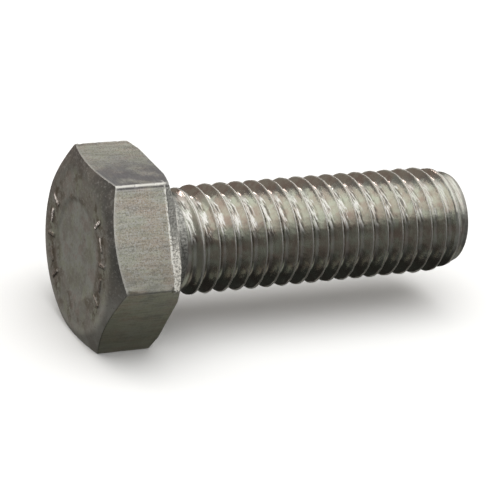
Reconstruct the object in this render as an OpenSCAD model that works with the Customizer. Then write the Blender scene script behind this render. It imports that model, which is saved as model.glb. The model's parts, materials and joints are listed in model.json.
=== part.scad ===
// Hex bolt, threaded over its whole length, with a chamfered hexagon head.
// Frame: the bolt's axis is +X and the seat under the head is the plane x = 0.
// The head is on the -X side, with two of its flats square to Z, and the tip is at x = bolt_l.

/* [Thread] */
// Thread diameter over the crests
thread_d = 8; // [6:0.5:12]
// Thread pitch
pitch = 1.25; // [1:0.25:1.75]
// Length under the head, from the seat to the tip
bolt_l = 25; // [16:1:40]
// Plain neck between the seat and the start of the thread run-out
neck_l = 1.35; // [0.8:0.05:2]
// Length over which the thread rises from the neck to its full depth
runout_l = 2; // [1.5:0.1:3]
// Angle about the axis at which the thread starts
thread_start = 15; // [0:1:359]
// Length of the chamfer at the tip
tip_l = 1.8; // [1:0.1:2]
// Angle of the tip chamfer from the axis
tip_angle = 18; // [15:1:30]

/* [Head] */
// Width across the flats of the hexagon
across_flats = 13; // [12:0.5:22]
// Height of the head, washer face included
head_h = 5.45; // [4:0.05:8]
// Diameter of the flat part of the head's top
top_flat_d = 11.9; // [10.5:0.1:11.9]
// Angle of the chamfer round the head's top
top_angle = 26; // [15:1:30]
// Angle of the small chamfer round the head's underside
under_angle = 25; // [15:1:30]
// Diameter of the washer face under the head
washer_d = 12; // [11:0.1:12.7]
// Thickness of the washer face
washer_h = 0.4; // [0.15:0.05:0.6]
// Radius of the fillet between the neck and the seat
fillet_r = 0.5; // [0.3:0.1:0.8]

/* [Top of the head] */
// Diameter of the shallow round recess in the top
recess_d = 7.2; // [5:0.1:8]
// Depth of the recess
recess_h = 0.12; // [0.05:0.01:0.3]
// Diameter of the ring of raised dashes
dash_ring_d = 9.3; // [9.2:0.1:9.6]
// Dashes in each of the two arcs
dash_n = 5; // [2:1:6]
// Angle between neighbouring dashes
dash_step = 18; // [16:1:24]
// Angle about the axis of the middle of the arcs
dash_turn = 79; // [0:1:179]
// Height of a dash above the top
dash_h = 0.1; // [0.05:0.01:0.2]

/* [Hidden] */
steps = 36;                                    // facets per turn of the thread
$fn = 96;
eps = 0.01;
crest_r = thread_d / 2;
sharp_h = pitch * sqrt(3) / 2;                 // height of the sharp 60 degree profile
peak_r = crest_r + sharp_h / 8;                // the envelope cuts this peak to the crest
root_r = crest_r - 0.6134 * pitch;
root_w = pitch / 8 + pitch * 0.03;             // width of the flat at the root
neck_r = crest_r - 0.3248 * pitch;             // rolled blank, at the pitch diameter
across_corners = across_flats / cos(30);
tip_r = crest_r - tip_l * tan(tip_angle);
hex_h = head_h - washer_h;
under_r = across_corners / 2 - 0.65;           // where the underside chamfer starts
lead_in = 2 * pitch;                           // thread core buried in the head
lead_out = 1.5 * pitch;                        // thread core past the tip, cut away
turns = ceil((lead_in + bolt_l + lead_out) / pitch);
dash_l = 1.1;
dash_w = 0.3;

// How much of its full depth the thread has at a distance x from the seat
function depth_at(x) = min(1, max(0, (x - neck_l) / runout_l));

// One turn's profile: [place along the pitch, radius at full depth]
profile = [[-root_w / 2, root_r], [root_w / 2, root_r], [pitch / 2, peak_r]];

// Radius of a profile point at a given depth; the crest stays just under full size in the run-out
function thread_radius(full_r, depth) =
    depth == 1 ? full_r : min(crest_r - 0.02, neck_r - eps + (full_r - neck_r + eps) * depth);

// A point on the helix: profile point j, after i steps
function helix_point(i, j) =
    let (
        x = -lead_in + pitch * i / steps + profile[j][0],
        r = thread_radius(profile[j][1], depth_at(x)),
        a = thread_start + 360 * i / steps
    )
    [r * cos(a), r * sin(a), x];

// The threaded core as one closed helical surface along Z, closed by a fan at each end
module threaded_core() {
    m = len(profile);
    n = turns * steps;
    points = [
        for (i = [0 : n]) for (j = [0 : m - 1]) helix_point(i, j),
        [0, 0, -lead_in - pitch],
        [0, 0, -lead_in + pitch * turns + pitch]
    ];
    start_hub = (n + 1) * m;
    end_hub = start_hub + 1;
    function at(i, j) = i * m + j;
    // Strips along each turn's profile
    strips = [
        for (i = [0 : n - 1]) for (j = [0 : m - 2]) each [
            [at(i, j), at(i, j + 1), at(i + 1, j)],
            [at(i + 1, j), at(i, j + 1), at(i + 1, j + 1)]
        ]
    ];
    // The strip that joins each turn to the next one
    seams = [
        for (i = [0 : n - steps - 1]) each [
            [at(i, m - 1), at(i + steps, 0), at(i + 1, m - 1)],
            [at(i + 1, m - 1), at(i + steps, 0), at(i + steps + 1, 0)]
        ]
    ];
    start_fan = [
        for (i = [0 : steps - 1]) [start_hub, at(i, 0), at(i + 1, 0)],
        for (j = [0 : m - 2]) [start_hub, at(0, j + 1), at(0, j)],
        [start_hub, at(steps, 0), at(0, m - 1)]
    ];
    end_fan = [
        for (i = [n - steps : n - 1]) [end_hub, at(i + 1, m - 1), at(i, m - 1)],
        for (j = [0 : m - 2]) [end_hub, at(n, j), at(n, j + 1)],
        [end_hub, at(n - steps, m - 1), at(n, 0)]
    ];
    polyhedron(points = points, faces = concat(strips, seams, start_fan, end_fan), convexity = 20);
}

// What the thread is cut to: the crest cylinder, the tip chamfer and the flat end
module shank_envelope() {
    rotate_extrude()
        polygon([
            [0, -lead_in / 2],
            [crest_r, -lead_in / 2],
            [crest_r, bolt_l - tip_l],
            [tip_r, bolt_l],
            [0, bolt_l]
        ]);
}

// The plain neck and the fillet that joins it to the seat
module neck() {
    rotate_extrude()
        difference() {
            square([neck_r + fillet_r, neck_l + eps]);
            translate([neck_r + fillet_r, fillet_r])
                circle(r = fillet_r);
            translate([neck_r, fillet_r])
                square([fillet_r + eps, neck_l]);
        }
    translate([0, 0, -lead_in])
        cylinder(r = neck_r, h = lead_in + neck_l + eps);
}

// The hexagon, chamfered round its top and, less, round its underside
module hexagon() {
    top_r = top_flat_d / 2;
    over = 1;
    corner_r = across_corners / 2 + over;
    intersection() {
        translate([0, 0, -head_h])
            rotate([0, 0, 30])
                cylinder(d = across_corners, h = hex_h, $fn = 6);
        rotate_extrude()
            polygon([
                [0, -head_h],
                [top_r, -head_h],
                [corner_r, -head_h + (corner_r - top_r) * tan(top_angle)],
                [corner_r, -washer_h - (corner_r - under_r) * tan(under_angle)],
                [under_r, -washer_h],
                [0, -washer_h]
            ]);
    }
}

// Plain raised dashes in two arcs on the head's top, every other one turned along the ring
module dashes() {
    for (side = [0, 180])
        for (i = [0 : dash_n - 1])
            rotate([0, 0, dash_turn + side + (i - (dash_n - 1) / 2) * dash_step])
                translate([dash_ring_d / 2, 0, -head_h])
                    rotate([0, 0, 90 * (i % 2)])
                        cube([dash_l, dash_w, 2 * dash_h], center = true);
}

module head() {
    difference() {
        hexagon();
        translate([0, 0, -head_h - eps])
            cylinder(d = recess_d, h = recess_h + eps);
    }
    translate([0, 0, -washer_h - eps])
        cylinder(d = washer_d, h = washer_h + eps);
    dashes();
}

module hex_bolt() {
    color("#9a968c")
        rotate([0, 90, 0]) {
            head();
            neck();
            intersection() {
                threaded_core();
                shank_envelope();
            }
        }
}

hex_bolt();
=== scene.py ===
import json
import math

import bmesh
import bpy
import numpy as np
from mathutils import Matrix, Vector


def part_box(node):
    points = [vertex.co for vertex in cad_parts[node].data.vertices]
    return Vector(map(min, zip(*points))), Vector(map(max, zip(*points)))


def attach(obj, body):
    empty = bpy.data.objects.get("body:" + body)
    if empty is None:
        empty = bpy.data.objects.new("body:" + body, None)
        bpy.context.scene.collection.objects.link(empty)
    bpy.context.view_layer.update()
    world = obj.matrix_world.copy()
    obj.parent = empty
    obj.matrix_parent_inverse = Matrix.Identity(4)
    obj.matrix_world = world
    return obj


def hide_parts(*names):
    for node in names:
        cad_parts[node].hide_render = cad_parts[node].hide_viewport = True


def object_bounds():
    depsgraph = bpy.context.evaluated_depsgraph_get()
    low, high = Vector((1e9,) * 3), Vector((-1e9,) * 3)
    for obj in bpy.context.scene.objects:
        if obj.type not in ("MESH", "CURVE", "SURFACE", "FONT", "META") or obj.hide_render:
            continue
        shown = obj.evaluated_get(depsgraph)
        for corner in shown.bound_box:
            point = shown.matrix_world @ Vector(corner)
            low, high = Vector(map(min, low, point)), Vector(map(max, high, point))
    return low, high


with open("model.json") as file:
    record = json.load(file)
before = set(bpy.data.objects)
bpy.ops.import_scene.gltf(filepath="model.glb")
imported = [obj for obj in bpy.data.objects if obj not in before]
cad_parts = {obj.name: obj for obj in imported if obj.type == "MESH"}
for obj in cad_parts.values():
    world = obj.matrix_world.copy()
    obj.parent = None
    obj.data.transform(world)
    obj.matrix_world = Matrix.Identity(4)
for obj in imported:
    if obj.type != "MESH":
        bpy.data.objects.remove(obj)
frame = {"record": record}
cad_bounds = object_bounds()

# ---------------------------------------------------------------- sizes
# Lengths are millimetres, x runs along the bolt's axis from the seat under the head to the tip,
# and angles are radians round the axis, from -Z towards +Y.
MM = 0.001
TURN = 2 * math.pi
low, high = (np.array(corner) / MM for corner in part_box("hex_bolt"))
thread_mount = next(m for m in frame["record"]["mounts"] if m["name"] == "thread")

# Thread
CREST_R = thread_mount["dims"]["r_mm"]
PITCH = 1.25
FLANK_SLOPE = math.tan(math.radians(60))
PEAK_R = CREST_R + 0.03
ROOT_R = CREST_R - 0.6134 * PITCH
NECK_R = CREST_R - 0.3248 * PITCH
NECK_END = 1.35
RUNOUT = 2.0
THREAD_START = math.radians(15)
HELIX_FROM = 1.1
ROOT_ROUND = 0.24
CREST_ROUND = 0.07
CREST_WEAR = 0.014
SHANK_COLUMNS = 144
# The first crests are blunter by a half width, which goes from full to none between two places
BLUNT_HALF_W = 0.1
BLUNT_UNTIL = 2.6
SHARP_FROM = 4.2

# Tip
TIP_X = high[0]
TIP_CHAMFER = 1.8
TIP_ANGLE = math.radians(18)
TIP_ROUND = 0.3
TIP_ROUND_X = TIP_X - 0.35
TIP_DISH = 0.12
# The thread keeps this share of its depth at the very tip, and all of it this far back
TIP_DEPTH_SHARE = 0.4
TIP_FADE = 1.3

# Head
SECTOR = math.radians(60)
APOTHEM = high[2]
CORNER_R = APOTHEM / math.cos(SECTOR / 2)
CORNER_ROUND = 0.16
WASHER_R = 6.0
WASHER_H = 0.4
FILLET = 0.5
UNDER_START = CORNER_R - 0.65
UNDER_ANGLE = math.radians(25)
TOP_FLAT_R = 5.95
TOP_ANGLE = math.radians(26)
RECESS_R = 3.6
RECESS_H = 0.1

# Dashes on the head's top, in an arc on each side
DASH_RING_R = 4.65
DASH_N = 5
DASH_STEP = math.radians(18)
DASH_TURN = math.radians(79)
DASH_L = 1.1
DASH_W = 0.3
DASH_H = 0.1
TOP_X = low[0] + DASH_H

# Wear on the hexagon's sides
NICKS_PER_CORNER = 9
NICK_HALF_W = 0.14
# Drawn lines: distance from a corner and depth
DRAWN_LINES = ((0.26, 0.014), (0.74, 0.008))
DRAWN_LINE_W = 0.07
# The trimming die tore a strip next to the underside, behind a raised ridge, mostly on one flat;
# flats are counted from the one that faces -Z
TORN_SIDE = 4
TRIM_X = -WASHER_H - 0.62
STRIP_DEPTH = 0.04
STRIP_ROUGHNESS = 0.016
RIDGE_H = 0.035
RIDGE_W = 0.07

# Surfaces, each with its own material slot
SIDES, TOP, UNDER, THREAD, END = range(5)

# ---------------------------------------------------------------- light and camera values
# Light from the room: elevation in degrees and strength
ROOM_LIGHT = (
    (-90, 0.035),
    (-60, 0.042),
    (-48, 0.06),
    (-33, 0.11),
    (-10, 0.14),
    (8, 0.115),
    (20, 0.155),
    (28, 0.30),
    (36, 0.58),
    (48, 0.78),
    (65, 0.9),
    (90, 0.9),
)
ROOM_TINT = (1, 0.99, 0.95)
# Round patches of other light over it: azimuth from -Y towards +X, elevation, radius of the full
# part and radius where it is gone, all in degrees, and colour
PATCHES = (
    (92, -62, 6, 34, (0.215, 0.215, 0.187)),
    (-152, -58, 14, 50, (0.018, 0.018, 0.016)),
    (-162, 4, 18, 36, (0.19, 0.157, 0.137)),
    (-146, -21, 12, 30, (0.27, 0.262, 0.24)),
    (115, 14, 22, 38, (0.66, 0.65, 0.62)),
    (-157, 31, 3, 7, (5.0, 4.3, 4.1)),
)

# Lamp and floor, in metres
LAMP_SPREAD = math.radians(75)
LAMP_ENERGY = 2.1
LAMP_OFFSET = Vector((-0.02, -0.06, 0.3))
FLOOR_REACH = 2.0
FLOOR_SHADE = 0.87

# The camera's angles are in degrees, and its heading is from +Y towards +X.
CAMERA_AIM = Vector((8.881, 0.752, -1.694))
CAMERA_DISTANCE = 171.32
CAMERA_HEADING = 29.017
CAMERA_DOWN = 24.793
CAMERA_ROLL = 7.902
CAMERA_LENS = 166.79
CAMERA_SENSOR = 36


# ---------------------------------------------------------------- shape helpers
def smooth_step(from_x, to_x, x):
    t = np.clip((x - from_x) / (to_x - from_x), 0, 1)
    return t * t * (3 - 2 * t)


def smooth_min(a, b, width):
    """The lower of a and b, with the corner between them rounded over width."""
    h = np.clip(1 - np.abs(a - b) / width, 0, 1)
    return np.minimum(a, b) - h * h * width / 4


def smooth_max(a, b, width):
    return -smooth_min(-a, -b, width)


def ripple(seed, coords, longest, shortest, waves=12):
    """A sum of sine waves in random directions over coords, mostly between -1 and 1."""
    rng = np.random.RandomState(seed)
    total = 0
    for _ in range(waves):
        direction = rng.normal(size=len(coords))
        direction /= np.linalg.norm(direction)
        length = math.exp(rng.uniform(math.log(shortest), math.log(longest)))
        phase = rng.uniform(0, TURN)
        along = sum(d * c for d, c in zip(direction, coords))
        total = total + np.sin(TURN * along / length + phase)
    return total / math.sqrt(waves)


def outward(angle):
    """The direction straight out from the axis at an angle."""
    return (0, math.sin(angle), -math.cos(angle))


def signed_turn(angle):
    """The same angle, between minus half a turn and half a turn."""
    return (angle + math.pi) % TURN - math.pi


def position(x, r, angle):
    """Points in metres."""
    x, r, angle = np.broadcast_arrays(x, r, angle)
    return np.stack([x, r * np.sin(angle), -r * np.cos(angle)], axis=-1) * MM


class Skin:
    """The points and faces of one closed surface, made of rings round the axis."""

    def __init__(self):
        self.points = []
        self.faces = []
        self.materials = []

    def ring(self, x, r, angles):
        first = len(self.points)
        self.points.extend(position(x, r, angles).tolist())
        return list(range(first, len(self.points)))

    def face(self, corners, material):
        """A face, unless its corners have run together so that fewer than three are left."""
        kept = [c for i, c in enumerate(corners) if c != corners[i - 1]]
        if len(kept) >= 3 and len(set(kept)) == len(kept):
            self.faces.append(kept)
            self.materials.append(material)

    def bridge(self, ring_a, ring_b, material):
        """Quads between two rings with the same number of points."""
        for k in range(len(ring_a)):
            before = k - 1
            self.face([ring_a[before], ring_b[before], ring_b[k], ring_a[k]], material)

    def stitch(self, ring_a, angles_a, ring_b, angles_b, material):
        """Triangles between two rings with different numbers of points, both in order of angle."""
        a = 0
        b = 0
        ends_a = np.append(angles_a[1:], angles_a[0] + TURN)
        ends_b = np.append(angles_b[1:], angles_b[0] + TURN)
        while a < len(ring_a) or b < len(ring_b):
            here_a = ring_a[a % len(ring_a)]
            here_b = ring_b[b % len(ring_b)]
            if b >= len(ring_b) or (a < len(ring_a) and ends_a[a] <= ends_b[b]):
                a += 1
                self.face([here_a, here_b, ring_a[a % len(ring_a)]], material)
            else:
                b += 1
                self.face([here_a, here_b, ring_b[b % len(ring_b)]], material)

    def cap(self, ring, x, material):
        """Triangles from a ring to a point on the axis."""
        centre = len(self.points)
        self.points.append([x * MM, 0.0, 0.0])
        for k, here in enumerate(ring):
            self.face([ring[k - 1], centre, here], material)

    def sweep(self, ring, angles, path, materials, wear=None):
        """Bridges on from a ring along a path, worn in by wear(x, r). Returns the last ring."""
        for stretch, (x, r) in path:
            if wear:
                r = r - wear(x, r)
            following = self.ring(x, r, angles)
            self.bridge(ring, following, materials[stretch])
            ring = following
        return ring


def spread(count, margin=0.05):
    """Places along a stretch: one close to each end, the rest evenly between."""
    return [margin] + [i / count for i in range(1, count)] + [1 - margin]


def rounded_path(corners, rounds, places, steps=4):
    """A path through corners, each inner one rounded over its own distance.

    corners are (x, r) pairs over the angles, rounds has one distance for each inner corner and places
    has the rings along each stretch. Yields (stretch, (x, r)) for each ring, first corner to last.
    """
    shape = np.broadcast_shapes(*(np.shape(value) for corner in corners for value in corner))
    corners = [np.array([np.broadcast_to(value, shape) for value in corner]) for corner in corners]
    starts = [corners[0]]
    ends = []
    curves = []
    for before, here, after, reach in zip(corners, corners[1:], corners[2:], rounds):
        edge = []
        for other in (before, after):
            away = other - here
            length = np.maximum(np.linalg.norm(away, axis=0), 1e-6)
            edge.append(here + away * np.minimum(reach / length, 0.45))
        ends.append(edge[0])
        starts.append(edge[1])
        curves.append((edge[0], here, edge[1]))
    ends.append(corners[-1])
    for i, (a, b) in enumerate(zip(starts, ends)):
        for t in places[i]:
            yield i, a + (b - a) * t
        if i < len(curves):
            enter, here, leave = curves[i]
            for t in np.linspace(0, 1, steps + 1):
                yield i + (t > 0.5), enter * (1 - t) ** 2 + here * 2 * t * (1 - t) + leave * t * t


# ---------------------------------------------------------------- shank
def shank_r(x, angle):
    """Radius of the neck, the thread and the tip's chamfer."""
    phase = (x - PITCH / 2) / PITCH - (angle - THREAD_START) / TURN
    off_crest = np.abs(phase - np.round(phase)) * PITCH
    around = (x / 1.6, 4 * np.sin(angle), 4 * np.cos(angle))
    uneven = 0.008 * ripple(3, around, 1.5, 0.35)
    blunt = BLUNT_HALF_W * (1 - smooth_step(BLUNT_UNTIL, SHARP_FROM, x)) + uneven
    flank = PEAK_R - FLANK_SLOPE * np.maximum(off_crest - blunt, 0)
    full = smooth_max(flank, ROOT_R, ROOT_ROUND)
    thread = NECK_R + (full - NECK_R) * smooth_step(NECK_END, NECK_END + RUNOUT, x)
    cone = CREST_R - (x - (TIP_X - TIP_CHAMFER)) * math.tan(TIP_ANGLE)
    blank = smooth_min(CREST_R, cone, TIP_ROUND)
    worn = CREST_WEAR * ripple(4, around, 1.2, 0.3) - CREST_WEAR
    cut = smooth_min(thread, blank + worn, CREST_ROUND)
    depth = TIP_DEPTH_SHARE + (1 - TIP_DEPTH_SHARE) * smooth_step(TIP_X, TIP_X - TIP_FADE, x)
    return blank - (blank - cut) * depth


def thread_rows():
    """Places of the helical rows within one pitch, closest together at the crest."""
    half = [0.03, 0.055, 0.08, 0.14, 0.23, 0.32, 0.39, 0.45]
    return [0] + half + [0.5] + [1 - h for h in reversed(half)]


def build_thread(skin, angles, x_from, x_to):
    """The helical surface between two plain rings. Returns those rings."""
    rows = thread_rows()
    first_ring = skin.ring(x_from, shank_r(x_from, angles), angles)
    last_ring = skin.ring(x_to, shank_r(x_to, angles), angles)
    turns = range(math.floor(x_from / PITCH) - 3, math.ceil(x_to / PITCH) + 1)
    starts = [PITCH * (0.5 + turn + row) for turn in turns for row in rows]
    # A point closer than this to a plain ring, or past it, is a point of the ring instead.
    closest = 0.012
    grid = []
    for start in starts:
        x = start + PITCH * (angles - THREAD_START) / TURN
        points = position(x, shank_r(x, angles), angles).tolist()
        row = []
        for k, here in enumerate(x):
            if here <= x_from + closest:
                row.append(first_ring[k])
            elif here >= x_to - closest:
                row.append(last_ring[k])
            else:
                row.append(len(skin.points))
                skin.points.append(points[k])
        grid.append(row)
    for j in range(len(starts) - 1 - len(rows)):
        # After a whole turn the helix meets the same row of the next pitch.
        here = grid[j] + [grid[j + len(rows)][0]]
        following = grid[j + 1] + [grid[j + 1 + len(rows)][0]]
        for k in range(len(angles)):
            skin.face([here[k], following[k], following[k + 1], here[k + 1]], THREAD)
    return first_ring, last_ring


def build_tip(skin, ring, angles):
    """The end of the chamfer, its rounded edge and the slightly dished end face."""
    edge = shank_r(TIP_ROUND_X, angles)
    end = shank_r(TIP_X, angles)
    path = [
        (TIP_ROUND_X, edge),
        (TIP_X, end),
        (TIP_X, 0.72 * end),
        (TIP_X - TIP_DISH, 0.55 * end),
        (TIP_X - TIP_DISH, 0.06 * end),
    ]
    rounds = [0.24, 0.35, 0.35]
    places = [[0.5], spread(4), [0.5], spread(5)]
    ring = skin.sweep(ring, angles, rounded_path(path, rounds, places), [END] * 4)
    skin.cap(ring, TIP_X - TIP_DISH, END)


def build_neck(skin, ring, angles):
    """The plain neck and the fillet down to the seat. Returns the ring on the seat."""
    path = [(0.95, NECK_R), (0.7, NECK_R)]
    for bend in np.linspace(0, math.pi / 2, 9):
        path.append((FILLET - FILLET * math.sin(bend), NECK_R + FILLET - FILLET * math.cos(bend)))
    for x, r in path:
        following = skin.ring(x, r, angles)
        skin.bridge(ring, following, THREAD)
        ring = following
    return ring


# ---------------------------------------------------------------- head
def head_angles():
    """Angles of the head's columns, close together at the hexagon's corners."""
    half = list(np.arange(0, 5.0, 0.36)) + list(np.linspace(5.4, 30, 13))
    sector = [-h for h in reversed(half[1:-1])] + half
    return np.radians(sorted((30 + 60 * i + s) % 360 for i in range(6) for s in sector))


def hexagon_r(angle):
    """Distance from the axis to the hexagon's outline, with its corners rounded."""
    off_corner = np.abs((angle % SECTOR) - SECTOR / 2)
    centre = CORNER_R - CORNER_ROUND / math.cos(SECTOR / 2)
    reach = math.atan2(CORNER_ROUND * math.sin(SECTOR / 2), centre + CORNER_ROUND * math.cos(SECTOR / 2))
    inside = np.maximum(CORNER_ROUND**2 - (centre * np.sin(off_corner)) ** 2, 0)
    rounded = centre * np.cos(off_corner) + np.sqrt(inside)
    return np.where(off_corner < reach, rounded, APOTHEM / np.cos(SECTOR / 2 - off_corner))


def nicks(seed, x, angle):
    """Depth of small dents along the hexagon's corners."""
    rng = np.random.RandomState(seed)
    depth = 0
    for corner in range(6):
        for _ in range(NICKS_PER_CORNER):
            at_x = rng.uniform(TOP_X, 0)
            half_l = rng.uniform(0.06, 0.2)
            deep = rng.uniform(0.01, 0.05)
            at_angle = SECTOR * (corner + 0.5) + math.radians(rng.uniform(-0.8, 0.8))
            off = signed_turn(angle - at_angle)
            reach = np.hypot((x - at_x) / half_l, off * CORNER_R / NICK_HALF_W)
            depth = depth + deep * smooth_step(1.3, 0, reach)
    return depth


def side_wear(x, r, angle):
    """How far the sides of the head are worn or relieved below a true hexagon."""
    torn = 0.1 + 0.9 * smooth_step(0.52, 0.5, np.abs(angle / SECTOR - TORN_SIDE))
    from_corner = APOTHEM * (math.tan(SECTOR / 2) + np.tan((angle + SECTOR / 2) % SECTOR - SECTOR / 2))
    wear = 0.005 * ripple(12, (x / 3, r * np.sin(angle), r * np.cos(angle)), 2.0, 0.5)
    for distance, deep in DRAWN_LINES:
        wear = wear + deep * np.exp(-(((from_corner - distance) / DRAWN_LINE_W) ** 2))
    edge = TRIM_X + 0.06 * ripple(13, (3 * np.sin(angle), 3 * np.cos(angle)), 4, 1)
    strip = smooth_step(edge + 0.02, edge + 0.1, x)
    wear = wear + torn * (STRIP_DEPTH * strip - RIDGE_H * np.exp(-(((x - edge) / RIDGE_W) ** 2)))
    wear = wear + STRIP_ROUGHNESS * torn * strip * ripple(14, (x, 7 * angle), 0.5, 0.12, 16)
    return wear + nicks(15, x, angle)


def build_head(skin, ring, ring_angles):
    """Seat, washer face, underside, sides and top chamfer. Returns the last ring and its angles."""
    angles = head_angles()
    outline = hexagon_r(angles)
    seat_r = NECK_R + FILLET + 0.15
    seat = skin.ring(0, seat_r, angles)
    skin.stitch(ring, ring_angles, seat, angles, UNDER)
    under_r = np.minimum(UNDER_START, outline - 0.1)
    rear_x = -WASHER_H - np.maximum(outline - UNDER_START, 0) * math.tan(UNDER_ANGLE)
    front_x = TOP_X + (outline - TOP_FLAT_R) * math.tan(TOP_ANGLE)
    path = [
        (0, seat_r),
        (0, WASHER_R),
        (-WASHER_H, WASHER_R),
        (-WASHER_H, under_r),
        (rear_x, outline),
        (front_x, outline),
        (TOP_X, TOP_FLAT_R),
        (TOP_X, TOP_FLAT_R - 0.65),
    ]
    rounds = [0.1, 0.05, 0.05, 0.1, 0.04, 0.3]
    # Rings on the sides are closest together next to the underside, where the strip is torn.
    sides = [0.01 + 0.0105 * i for i in range(24)] + [0.28 + 0.036 * i for i in range(20)]
    places = [spread(4), [0.35, 0.65], [0.5], [0.5], sides, spread(5), [0.6, 1]]
    materials = [UNDER, UNDER, UNDER, UNDER, SIDES, TOP, TOP]

    def wear(x, r):
        near_sides = smooth_step(APOTHEM - 0.5, APOTHEM - 0.1, r)
        past_washer = smooth_step(-WASHER_H + 0.02, -WASHER_H - 0.1, x)
        return near_sides * past_washer * side_wear(x, r, angles)

    ring = skin.sweep(seat, angles, rounded_path(path, rounds, places), materials, wear)
    return ring, angles


def dash_height(r, angle):
    """Height of the raised dashes, with soft sides; every other one is turned along the ring."""
    height = 0 * angle
    for side in (0, math.pi):
        for i in range(DASH_N):
            middle = DASH_TURN + side + (i - (DASH_N - 1) / 2) * DASH_STEP
            off = signed_turn(angle - middle)
            across = r * np.sin(off)
            along = r * np.cos(off) - DASH_RING_R
            if i % 2:
                across, along = along, across
            reach = np.maximum(np.abs(along) - DASH_L / 2, np.abs(across) - DASH_W / 2)
            height = np.maximum(height, DASH_H * smooth_step(0.06, -0.1, reach))
    return height


def top_angles():
    """Angles of the top's columns, close together where the dashes are."""
    half_arc = DASH_STEP * (DASH_N - 1) / 2 + math.radians(9)
    fine = np.linspace(-half_arc, half_arc, 140)
    coarse = np.linspace(half_arc, math.pi - half_arc, 30)[1:-1]
    both = np.concatenate([fine, coarse])
    return np.sort((np.concatenate([both, both + math.pi]) + DASH_TURN) % TURN)


def build_top(skin, ring, ring_angles):
    """The top of the head: dashes, then the shallow recess with its soft edge."""
    angles = top_angles()

    def uneven(r):
        return 0.012 * ripple(21, (r * np.sin(angles), r * np.cos(angles)), 5, 1.2)

    for i, r in enumerate([5.26, *np.linspace(5.22, 4.02, 24), 3.93]):
        following = skin.ring(TOP_X - dash_height(r, angles) + uneven(r) * (i > 0), r, angles)
        if i == 0:
            skin.stitch(ring, ring_angles, following, angles, TOP)
        else:
            skin.bridge(ring, following, TOP)
        ring = following
    wander = 0.09 * ripple(22, (3 * np.sin(angles), 3 * np.cos(angles)), 6, 2)
    for r in [*np.linspace(3.86, 3.1, 9), 2.6, 2.0, 1.4, 0.8, 0.25]:
        depth = RECESS_H * smooth_step(RECESS_R + 0.22, RECESS_R - 0.32, r + wander)
        following = skin.ring(TOP_X + depth + uneven(r), r, angles)
        skin.bridge(ring, following, TOP)
        ring = following
    skin.cap(ring, TOP_X + RECESS_H + float(np.mean(uneven(0.01))), TOP)


def build_bolt():
    skin = Skin()
    shank_angles = np.linspace(0, TURN, SHANK_COLUMNS, endpoint=False)
    first_ring, last_ring = build_thread(skin, shank_angles, HELIX_FROM, TIP_ROUND_X)
    build_tip(skin, last_ring, shank_angles)
    seat = build_neck(skin, first_ring, shank_angles)
    ring, ring_angles = build_head(skin, seat, shank_angles)
    build_top(skin, ring, ring_angles)
    mesh = bpy.data.meshes.new("bolt_body")
    mesh.from_pydata(skin.points, [], skin.faces)
    mesh.polygons.foreach_set("material_index", skin.materials)
    mesh.polygons.foreach_set("use_smooth", [True] * len(mesh.polygons))
    solid = bmesh.new()
    solid.from_mesh(mesh)
    bmesh.ops.recalc_face_normals(solid, faces=solid.faces)
    solid.to_mesh(mesh)
    solid.free()
    body = bpy.data.objects.new("bolt_body", mesh)
    bpy.context.scene.collection.objects.link(body)
    return body


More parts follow.
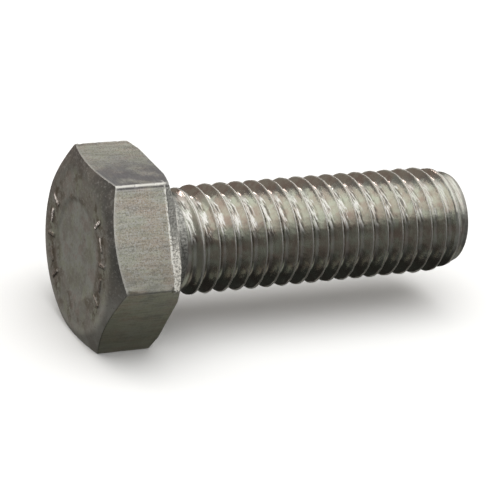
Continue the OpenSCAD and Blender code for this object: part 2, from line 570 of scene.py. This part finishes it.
# ---------------------------------------------------------------- materials
class Nodes:
    """Adds nodes to one material's or world's tree."""

    def __init__(self, tree):
        self.tree = tree

    def add(self, kind, inputs=None, **settings):
        node = self.tree.nodes.new("ShaderNode" + kind)
        for key, value in settings.items():
            setattr(node, key, value)
        for name, value in (inputs or {}).items():
            if isinstance(value, bpy.types.NodeSocket):
                self.tree.links.new(value, node.inputs[name])
            else:
                node.inputs[name].default_value = value
        return node

    def maths(self, operation, a, b=0.0, c=0.0):
        return self.add("Math", {0: a, 1: b, 2: c}, operation=operation).outputs[0]

    def times(self, product, *others):
        for other in others:
            product = self.maths("MULTIPLY", product, other)
        return product

    def times_plus(self, value, factor, addend):
        return self.maths("MULTIPLY_ADD", value, factor, addend)

    def larger(self, a, b):
        return self.maths("MAXIMUM", a, b)

    def dot(self, vector, direction):
        node = self.add("VectorMath", {0: vector, 1: direction}, operation="DOT_PRODUCT")
        return node.outputs["Value"]

    def fade(self, value, from_x, to_x, low_y=0.0, high_y=1.0):
        """low_y before from_x, high_y beyond to_x and a smooth step between; from_x may be the larger."""
        if from_x > to_x:
            from_x, to_x, low_y, high_y = to_x, from_x, high_y, low_y
        ends = {"Value": value, "From Min": from_x, "From Max": to_x, "To Min": low_y, "To Max": high_y}
        return self.add("MapRange", ends, interpolation_type="SMOOTHSTEP").outputs["Result"]

    def mix(self, factor, a, b):
        node = self.add("Mix", {"Factor": factor}, data_type="RGBA", clamp_factor=True)
        for socket, value in zip((node.inputs[6], node.inputs[7]), (a, b)):
            if isinstance(value, bpy.types.NodeSocket):
                self.tree.links.new(value, socket)
            else:
                socket.default_value = (*value, 1)
        return node.outputs[2]

    def stained(self, colour, *stains):
        """The colour under stains, each a value, where it starts, where it is full, its share and colour."""
        for value, start, full, share, stain in stains:
            colour = self.mix(self.fade(value, start, full, 0, share), colour, stain)
        return colour

    def millimetres(self):
        coords = self.add("TexCoord").outputs["Object"]
        return self.add("VectorMath", {0: coords, 3: 1 / MM}, operation="SCALE").outputs[0]

    def axes(self, vector):
        return self.add("SeparateXYZ", {0: vector}).outputs

    def axis_distance(self, axes):
        """Distance from the bolt's axis."""
        across, up = axes["Y"], axes["Z"]
        return self.maths("SQRT", self.times_plus(across, across, self.times(up, up)))

    def noise(self, vector, per_mm, detail=4.0, rough=0.55, offset=0.0):
        """Noise from 0 to 1. per_mm is its scale, one number or one for each axis."""
        scale = (per_mm,) * 3 if isinstance(per_mm, (int, float)) else per_mm
        placed = self.add("Mapping", {"Vector": vector, "Scale": scale, "Location": (offset, offset, offset)})
        inputs = {"Vector": placed.outputs[0], "Scale": 1.0, "Detail": detail, "Roughness": rough}
        return self.add("TexNoise", inputs).outputs["Fac"]

    def bump(self, height, depth, normal=None):
        """Bump from a height of 0 to 1, depth millimetres high."""
        inputs = {"Height": height, "Strength": 1.0, "Distance": depth * MM}
        if normal:
            inputs["Normal"] = normal
        return self.add("Bump", inputs).outputs[0]

    def facets(self, share, direction, normal):
        """Turns a share of the surface, point by point, to face an object direction."""
        settings = {"vector_type": "NORMAL", "convert_from": "OBJECT", "convert_to": "WORLD"}
        turned = self.add("VectorTransform", {0: direction}, **settings).outputs[0]
        mixed = self.add("Mix", {"Factor": share}, data_type="VECTOR")
        self.tree.links.new(normal, mixed.inputs[4])
        self.tree.links.new(turned, mixed.inputs[5])
        return mixed.outputs[1]


def steel(name):
    """A new bare metal material. Returns it, its nodes and its shader."""
    material = bpy.data.materials.new(name)
    material.use_nodes = True
    shader = material.node_tree.nodes["Principled BSDF"]
    shader.inputs["Metallic"].default_value = 1
    return material, Nodes(material.node_tree), shader


def finish_steel(n, shader, colour, roughness, normal):
    for name, socket in (("Base Color", colour), ("Roughness", roughness), ("Normal", normal)):
        n.tree.links.new(socket, shader.inputs[name])


def rubbed_edges_and_highlight(n, axes):
    """Where a side's edges are near white, partly rubbed bright by wear and partly a painted highlight: along
    the top chamfer and along the upper corners, strongest towards the top.
    """
    from_axis = n.axis_distance(axes)
    slope = math.tan(TOP_ANGLE)
    past_chamfer = n.maths("ADD", axes["X"], n.times_plus(from_axis, -slope, TOP_FLAT_R * slope - TOP_X))
    chamfer = n.times(n.fade(past_chamfer, 0.22, 0.08), n.fade(axes["Z"], -1.5, 0.5, 0, 0.6))
    corner = n.times(n.fade(from_axis, CORNER_R - 0.085, CORNER_R - 0.05), n.fade(axes["Z"], 2, 5, 0.2, 1))
    return n.larger(corner, chamfer)


def torn_places(n, at, axes, patch):
    """The torn strip and the ridge in front of it, on the one flat that has them."""
    flat = n.fade(n.dot(at, outward(TORN_SIDE * SECTOR)), 6.0, 6.35)
    x = n.times_plus(patch, 0.3, n.maths("SUBTRACT", axes["X"], 0.15))
    strip = n.times(n.fade(x, TRIM_X - 0.02, TRIM_X + 0.05), flat)
    ridge = n.times(n.fade(x, TRIM_X - 0.13, TRIM_X - 0.05), n.fade(x, TRIM_X + 0.09, TRIM_X + 0.02), flat)
    return strip, ridge


def drawn_sides():
    """The hexagon's sides: drawn along the axis, stained, worn at the edges, torn beside the underside, with
    painted highlights on the edges and the torn strip and painted shade towards the bottom.
    """
    material, n, shader = steel("drawn_sides")
    at = n.millimetres()
    axes = n.axes(at)
    streaks = n.noise(at, (0.5, 8, 8), 4, 0.65)
    combed = n.noise(at, (7, 0.7, 0.7), 4, 0.6, 27)
    bands = n.noise(at, (0.3, 1.0, 1.0), 3, 0.55, 7)
    patch = n.noise(at, (0.6, 0.8, 0.8), 4, 0.6, 19)
    tint = n.noise(at, (0.5, 0.9, 0.9), 4, 0.6, 41)
    speck = n.noise(at, 8.5, 3, 0.75, 11)
    tear = n.noise(at, 7.5, 3, 0.6, 4)
    strip, ridge = torn_places(n, at, axes, patch)
    low_end = n.fade(axes["Z"], 4.2, 1.8)

    pale = (0.97, 0.965, 0.80)
    tan = (0.89, 0.79, 0.645)
    greenish = (0.72, 0.76, 0.60)
    pinkish = (0.85, 0.68, 0.60)
    grey = (0.52, 0.53, 0.54)
    colour = n.mix(n.fade(bands, 0.44, 0.56), pale, tan)
    colour = n.stained(colour, (tint, 0.5, 0.6, 0.5, greenish), (tint, 0.46, 0.38, 0.4, pinkish))
    colour = n.stained(colour, (patch, 0.5, 0.64, 0.45, grey))
    colour = n.stained(colour, (streaks, 0.52, 0.6, 0.6, (0.99, 0.98, 0.94)))
    colour = n.stained(colour, (streaks, 0.46, 0.38, 0.6, (0.50, 0.48, 0.44)))
    # Specks, sharper on the upper sides
    crisp = n.fade(axes["Z"], -0.6, 1.2, 0.35, 1)
    colour = n.mix(n.times(crisp, n.fade(speck, 0.52, 0.6)), colour, (0.99, 0.98, 0.95))
    colour = n.mix(n.times(crisp, n.fade(speck, 0.47, 0.38, 0, 0.7)), colour, (0.42, 0.4, 0.36))
    # A dark cloud on one half of the flat that faces up
    half_top = n.times(n.fade(axes["Z"], 6.0, 6.35), n.fade(axes["Y"], 2.2, -2.2))
    cloud = n.times(half_top, n.fade(patch, 0.38, 0.56, 0.35, 0.85))
    colour = n.mix(cloud, colour, (0.35, 0.335, 0.365))
    colour = n.stained(colour, (combed, 0.52, 0.62, 0.14, (0.97, 0.96, 0.92)))
    colour = n.stained(colour, (combed, 0.47, 0.37, 0.12, (0.45, 0.44, 0.41)))
    # Painted highlight on the torn strip: near white low down, where it glints, dark grey higher up
    torn = n.mix(low_end, (0.44, 0.44, 0.43), (0.93, 0.91, 0.86))
    colour = n.mix(n.times(strip, 0.85), colour, torn)
    colour = n.mix(n.times(ridge, n.fade(tear, 0.38, 0.5)), colour, (0.98, 0.97, 0.93))
    # Painted shade: the sides get much darker towards the bottom, standing in for the shadowed floor the
    # lower sides reflect
    colour = n.mix(n.fade(axes["Z"], -6.5, 4.8, 0.75, 0), colour, (0.05, 0.052, 0.04))
    # Painted highlight and wear: the upper edges are coloured near white
    colour = n.mix(rubbed_edges_and_highlight(n, axes), colour, (0.95, 0.94, 0.9))

    roughness = n.times_plus(streaks, 0.16, n.times_plus(strip, 0.1, 0.24))
    lines = n.bump(n.times_plus(streaks, 0.7, patch), 0.005)
    grain = n.bump(n.times(tear, strip), 0.04, n.bump(speck, 0.009, lines))
    on_strip = n.times(strip, n.fade(n.times_plus(low_end, 0.14, tear), 0.6, 0.67, 0, 0.9))
    on_ridge = n.times(ridge, n.fade(low_end, 0, 1, 0.5, 0.95), n.fade(tear, 0.44, 0.52, 0.1, 1))
    sparkle = n.larger(on_strip, on_ridge)
    finish_steel(n, shader, colour, roughness, n.facets(sparkle, (0, -0.62, 0.78), grain))
    return material


def pressed_top():
    """The head's top: dull and mottled, a little lighter in the recess, with grime round the dashes."""
    material, n, shader = steel("pressed_top")
    at = n.millimetres()
    axes = n.axes(at)
    across, up = axes["Y"], axes["Z"]
    from_axis = n.axis_distance(axes)
    clouds = n.noise(at, 0.5, 5, 0.6, 2)
    grain = n.noise(at, 4.5, 5, 0.72, 5)
    tint = n.noise(at, 0.8, 4, 0.6, 13)
    blotch = n.noise(at, (0.6, 0.9, 0.9), 5, 0.65, 31)
    wander = n.times_plus(clouds, 1.8, n.maths("SUBTRACT", from_axis, 0.9))
    disc = n.fade(wander, RECESS_R + 0.3, RECESS_R - 0.6)
    rim = n.fade(from_axis, TOP_FLAT_R - 0.9, TOP_FLAT_R + 0.6)
    raised = n.fade(axes["X"], TOP_X - 0.45 * DASH_H, TOP_X - 0.9 * DASH_H)

    greenish = (0.64, 0.66, 0.52)
    pinkish = (0.64, 0.53, 0.49)
    brown = (0.33, 0.275, 0.22)
    colour = n.mix(disc, (0.60, 0.585, 0.545), (0.71, 0.72, 0.685))
    colour = n.stained(colour, (tint, 0.5, 0.6, 0.6, greenish), (tint, 0.46, 0.38, 0.5, pinkish))
    browned = n.times(n.fade(blotch, 0.5, 0.62, 0, 0.7), n.fade(disc, 0, 1, 1, 0.35))
    colour = n.mix(browned, colour, brown)
    colour = n.stained(colour, (blotch, 0.44, 0.34, 0.35, (0.66, 0.70, 0.64)))
    # Painted shade and highlight: the chamfer is coloured dark at its top and near white at its bottom
    chamfer = n.mix(n.fade(up, 1.5, -2.5), (0.26, 0.25, 0.24), (0.98, 0.97, 0.92))
    colour = n.mix(n.times(rim, 0.85), colour, chamfer)
    colour = n.stained(colour, (clouds, 0.44, 0.66, 0.6, (0.52, 0.48, 0.435)))
    colour = n.stained(colour, (grain, 0.53, 0.62, 0.5, (0.84, 0.83, 0.8)))
    colour = n.stained(colour, (grain, 0.42, 0.28, 0.7, (0.32, 0.3, 0.28)))
    # Brown grime in the two arcs where the dashes are
    sideways = n.maths("ABSOLUTE", n.dot(at, outward(DASH_TURN)))
    arcs = n.times(n.fade(sideways, 2.4, 3.4), n.fade(from_axis, 3.7, 4.3), n.fade(from_axis, 5.5, 5.1))
    grime = n.fade(n.noise(at, 1.7, 4, 0.65, 17), 0.47, 0.56, 0, 0.75)
    colour = n.mix(n.times(arcs, grime), colour, (0.25, 0.205, 0.155))
    # Painted highlight and shade: the dashes are coloured near white towards the top and dark lower down
    dash_glint_side = n.fade(n.times_plus(across, 0.25, up), 0.4, 2.0, 0.22, 1)
    colour = n.mix(raised, colour, n.mix(dash_glint_side, (0.33, 0.28, 0.235), (0.95, 0.86, 0.82)))

    roughness = n.times_plus(clouds, 0.2, n.times_plus(raised, -0.25, 0.42))
    relief = n.bump(grain, 0.02, n.bump(n.times(grain, raised), 0.12, n.bump(clouds, 0.03)))
    struck = n.times(raised, dash_glint_side, n.fade(grain, 0.47, 0.53, 0, 0.95))
    finish_steel(n, shader, colour, roughness, n.facets(struck, (-0.6, -0.4, 0.7), relief))
    return material


def forged_under():
    """Underside and washer face: speckled, as forged, with the washer face's rim rubbed bright."""
    material, n, shader = steel("forged_under")
    at = n.millimetres()
    axes = n.axes(at)
    from_axis = n.axis_distance(axes)
    rim = n.times(n.fade(from_axis, WASHER_R - 0.12, WASHER_R - 0.04), n.fade(axes["X"], -0.4, -0.35))
    grain = n.noise(at, 6, 5, 0.7, 1)
    rings = n.noise(at, (9, 0.5, 0.5), 3, 0.6, 6)
    colour = n.mix(n.fade(grain, 0.35, 0.65), (0.40, 0.385, 0.355), (0.74, 0.72, 0.67))
    colour = n.mix(n.times(rim, n.fade(grain, 0.36, 0.5)), colour, (0.94, 0.93, 0.89))
    finish_steel(n, shader, colour, n.times_plus(rings, 0.25, 0.22), n.bump(grain, 0.014))
    return material


def thread_phase(n, axes):
    """Place within the pitch: 0 on the crest and half a turn either way in the root."""
    angle = n.maths("ARCTAN2", axes["Y"], n.times(axes["Z"], -1.0))
    helix = n.times_plus(angle, -1 / TURN, THREAD_START / TURN - 0.5)
    return n.maths("WRAP", n.times_plus(axes["X"], 1 / PITCH, helix), 0.5, -0.5)


def helix_noise(n, axes, phase, across, slant, along, offset):
    """Noise stretched along the thread, slanted by a share of the height, slowly changing with x."""
    places = [n.times_plus(phase, PITCH * across, n.times(axes["Z"], slant))]
    places += [n.times_plus(axes["Y"], along, n.times(axes["X"], 0.2))]
    places += [n.times(axes["Z"], along)]
    vector = n.add("CombineXYZ", dict(enumerate(places))).outputs[0]
    return n.noise(vector, 1, 4, 0.65, offset)


def rolled_thread():
    """The thread: rolled bright, with rubbed crests, painted glints and painted shade in the roots and a
    duller neck under the head.
    """
    material, n, shader = steel("rolled_thread")
    at = n.millimetres()
    axes = n.axes(at)
    phase = thread_phase(n, axes)
    off_crest = n.times(n.maths("ABSOLUTE", phase), PITCH)
    crest = n.fade(off_crest, 0.085, 0.03)
    root = n.fade(off_crest, 0.27, 0.45)
    neck = n.fade(axes["X"], 1.7, 1.55)
    marks = helix_noise(n, axes, phase, 12, 0, 0.55, 0)
    root_glint_noise = helix_noise(n, axes, phase, 7, 1.5, 1.0, 21)
    cloud = n.noise(at, (1.2, 0.9, 0.9), 4, 0.62, 9)
    rub = n.noise(at, 6.0, 4, 0.7, 4)
    # Painted highlight: near white strokes in the roots on one upper side, weaker towards the tip
    one_side = n.times(n.fade(axes["Z"], 1.15, 1.5), n.fade(axes["Y"], -0.45, -0.9))
    glint_roots = n.times(one_side, root, n.fade(axes["X"], 23, 19, 0.3, 1))
    root_glints = n.times(glint_roots, n.fade(root_glint_noise, 0.53, 0.57))
    # Painted shade: dark patches in the roots, strongest on the glinting side
    painted_root_shade = n.times(n.larger(glint_roots, n.times(root, 0.2)), n.fade(root_glint_noise, 0.485, 0.44))
    # Painted shade: the roots are darker in a band a little above the axis
    shaded = n.times(root, n.times(n.fade(axes["Z"], 1.75, 1.5), n.fade(axes["Z"], 0.6, 1.2, 0, 0.3)))

    colour = n.mix(n.fade(cloud, 0.4, 0.62), (0.79, 0.81, 0.735), (0.68, 0.61, 0.56))
    colour = n.mix(painted_root_shade, colour, (0.26, 0.245, 0.225))
    colour = n.mix(shaded, colour, (0.24, 0.225, 0.205))
    colour = n.mix(root_glints, colour, (0.98, 0.97, 0.95))
    colour = n.mix(n.times(crest, n.fade(rub, 0.3, 0.5, 0.5, 1)), colour, (0.98, 0.96, 0.92))
    dull = n.mix(n.fade(rub, 0.42, 0.6), (0.34, 0.34, 0.325), (0.72, 0.72, 0.69))
    colour = n.mix(neck, colour, dull)

    roughness = n.times_plus(neck, 0.2, n.times_plus(marks, 0.14, 0.08))
    roughness = n.times_plus(crest, 0.2, roughness)
    flank = n.bump(marks, 0.007, n.bump(cloud, 0.05))
    grain = n.bump(n.times(rub, n.larger(crest, neck)), 0.05, flank)
    # The painted root glints are also turned to face straight out from the axis
    straight_out = n.add("CombineXYZ", {1: axes["Y"], 2: axes["Z"]}).outputs[0]
    straight_out = n.add("VectorMath", {0: straight_out}, operation="NORMALIZE").outputs[0]
    finish_steel(n, shader, colour, roughness, n.facets(n.times(root_glints, 0.9), straight_out, grain))
    return material


def sheared_end():
    """The tip's rounded edge and its end face: dull, speckled and faintly streaked."""
    material, n, shader = steel("sheared_end")
    at = n.millimetres()
    streaks = n.noise(at, (0.8, 3.5, 3.5), 5, 0.65, 2)
    grain = n.noise(at, 7, 4, 0.7, 6)
    colour = n.mix(n.fade(streaks, 0.36, 0.66), (0.45, 0.44, 0.41), (0.64, 0.63, 0.59))
    roughness = n.times_plus(streaks, 0.22, 0.24)
    finish_steel(n, shader, colour, roughness, n.bump(grain, 0.012, n.bump(streaks, 0.03)))
    return material


# ---------------------------------------------------------------- studio
def room_light(n, direction):
    """The room's light, by elevation alone."""
    up = n.axes(direction)["Z"]
    ramp = n.add("ValToRGB", {"Fac": n.times_plus(up, 0.5, 0.5)})
    elements = ramp.color_ramp.elements
    while len(elements) < len(ROOM_LIGHT):
        elements.new(0.5)
    for element, (elevation, light) in zip(elements, ROOM_LIGHT):
        element.position = (math.sin(math.radians(elevation)) + 1) / 2
        element.color = (*(light * share for share in ROOM_TINT), 1)
    return ramp.outputs["Color"]


def patch_share(n, direction, azimuth, elevation, inner, outer):
    """1 within inner degrees of the patch's middle, falling to 0 at outer degrees."""
    azimuth, elevation, inner, outer = (math.radians(d) for d in (azimuth, elevation, inner, outer))
    level = math.cos(elevation)
    middle = (math.sin(azimuth) * level, -math.cos(azimuth) * level, math.sin(elevation))
    return n.fade(n.dot(direction, middle), math.cos(outer), math.cos(inner))


def studio_light(world):
    """Soft surroundings that the metal reflects: a pale ceiling over a darker room, with patches of light.

    The camera itself sees only a plain white backdrop.
    """
    world.use_nodes = True
    world.node_tree.nodes.clear()
    n = Nodes(world.node_tree)
    direction = n.add("TexCoord").outputs["Generated"]
    light = room_light(n, direction)
    for azimuth, elevation, inner, outer, colour in PATCHES:
        light = n.mix(patch_share(n, direction, azimuth, elevation, inner, outer), light, colour)
    studio = n.add("Background", {"Color": light})
    backdrop = n.add("Background", {"Color": (1, 1, 1, 1)})
    seen = n.add("LightPath").outputs["Is Camera Ray"]
    mixed = n.add("MixShader", {0: seen, 1: studio.outputs[0], 2: backdrop.outputs[0]})
    n.add("OutputWorld", {"Surface": mixed.outputs[0]})


def build_floor():
    """A plain pale sheet under the bolt."""
    mesh = bpy.data.meshes.new("floor")
    height = cad_bounds[0].z
    corners = ((-1, -1), (1, -1), (1, 1), (-1, 1))
    mesh.from_pydata([(x * FLOOR_REACH, y * FLOOR_REACH, height) for x, y in corners], [], [(0, 1, 2, 3)])
    material = bpy.data.materials.new("floor_paper")
    material.use_nodes = True
    shader = material.node_tree.nodes["Principled BSDF"]
    shader.inputs["Base Color"].default_value = (FLOOR_SHADE, FLOOR_SHADE, FLOOR_SHADE, 1)
    shader.inputs["Roughness"].default_value = 0.9
    shader.inputs["Specular IOR Level"].default_value = 0.1
    mesh.materials.append(material)
    floor = bpy.data.objects.new("floor", mesh)
    floor.visible_glossy = False
    bpy.context.scene.collection.objects.link(floor)


def build_lamp(target):
    """A wide overhead glow that lights the floor and gives the bolt its soft shadow."""
    data = bpy.data.lights.new("overhead", "SUN")
    data.angle = LAMP_SPREAD
    data.energy = LAMP_ENERGY
    lamp = bpy.data.objects.new("overhead", data)
    lamp.location = target + LAMP_OFFSET
    lamp.rotation_euler = (target - lamp.location).to_track_quat("-Z", "Y").to_euler()
    lamp.visible_glossy = False
    bpy.context.scene.collection.objects.link(lamp)


def build_camera():
    data = bpy.data.cameras.new("camera")
    data.lens = CAMERA_LENS
    data.sensor_width = CAMERA_SENSOR
    data.clip_start = 0.005
    data.clip_end = 10
    camera = bpy.data.objects.new("camera", data)
    heading, down, roll = (math.radians(d) for d in (CAMERA_HEADING, CAMERA_DOWN, CAMERA_ROLL))
    level = math.cos(down)
    forward = Vector((math.sin(heading) * level, math.cos(heading) * level, -math.sin(down)))
    turned = forward.to_track_quat("-Z", "Y").to_matrix() @ Matrix.Rotation(roll, 3, "Z")
    place = CAMERA_AIM * MM - forward * (CAMERA_DISTANCE * MM)
    camera.matrix_world = Matrix.Translation(place) @ turned.to_4x4()
    bpy.context.scene.collection.objects.link(camera)
    bpy.context.scene.camera = camera


# ---------------------------------------------------------------- scene
build_camera()
bpy.context.scene.view_settings.view_transform = "Standard"
bpy.context.scene.world = bpy.data.worlds.new("studio")
studio_light(bpy.context.scene.world)
build_floor()
build_lamp((cad_bounds[0] + cad_bounds[1]) / 2)

bolt = build_bolt()
for make in (drawn_sides, pressed_top, forged_under, rolled_thread, sheared_end):
    bolt.data.materials.append(make())
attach(bolt, "root")
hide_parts("hex_bolt")
